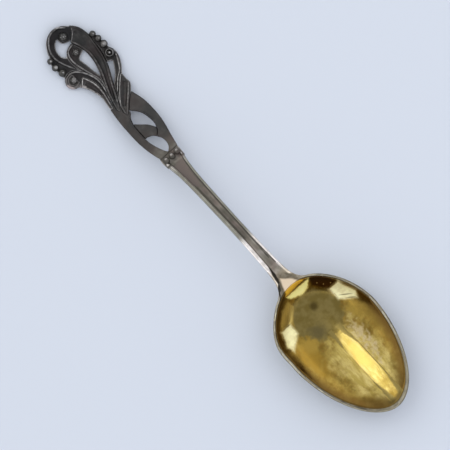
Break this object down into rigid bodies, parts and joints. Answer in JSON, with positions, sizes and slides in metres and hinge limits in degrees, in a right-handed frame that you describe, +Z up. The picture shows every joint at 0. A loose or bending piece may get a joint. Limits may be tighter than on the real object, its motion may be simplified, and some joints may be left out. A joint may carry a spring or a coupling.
{
  "type": "souvenir spoon",
  "caption": "Small silver souvenir spoon with a gilt egg-shaped bowl, a reeded stem and an openwork scroll handle edged with beads",
  "frame": {"origin": "Middle of the spoon's box in plan, on the table that it lies on", "axes": "+X along the spoon from the handle's end to the bowl's tip, +Y to the beaded upper side of the handle, +Z up out of the open bowl"},
  "size_m": [0.1364, 0.0286, 0.0118],
  "materials": {
    "bowl_silver": "polished",
    "gold_wash": "gloss",
    "stem_silver": "satin",
    "dark_silver": "satin",
    "worn_silver": "satin"
  },
  "bodies": {
    "root": {"bowl": "bowl_silver", "gilt_lining": "gold_wash", "stem": "stem_silver", "collar": "dark_silver", "collar_grain_1": "worn_silver", "collar_grain_2": "worn_silver", "collar_grain_3": "worn_silver", "lower_strap": "dark_silver", "upper_strap": "dark_silver", "cross_leaf": "dark_silver", "main_leaf": "dark_silver", "side_leaf": "dark_silver", "lower_leaf": "dark_silver", "outer_scroll": "dark_silver", "inner_scroll": "dark_silver", "lower_scroll": "dark_silver", "border_strap": "dark_silver", "outer_boss": "worn_silver", "inner_boss": "worn_silver", "lower_boss": "worn_silver", "upper_bead_1": "worn_silver", "upper_bead_2": "worn_silver", "upper_bead_3": "worn_silver", "upper_bead_4": "worn_silver", "lower_bead_1": "worn_silver", "lower_bead_2": "worn_silver", "lower_bead_3": "worn_silver"}
  },
  "joints": []
}
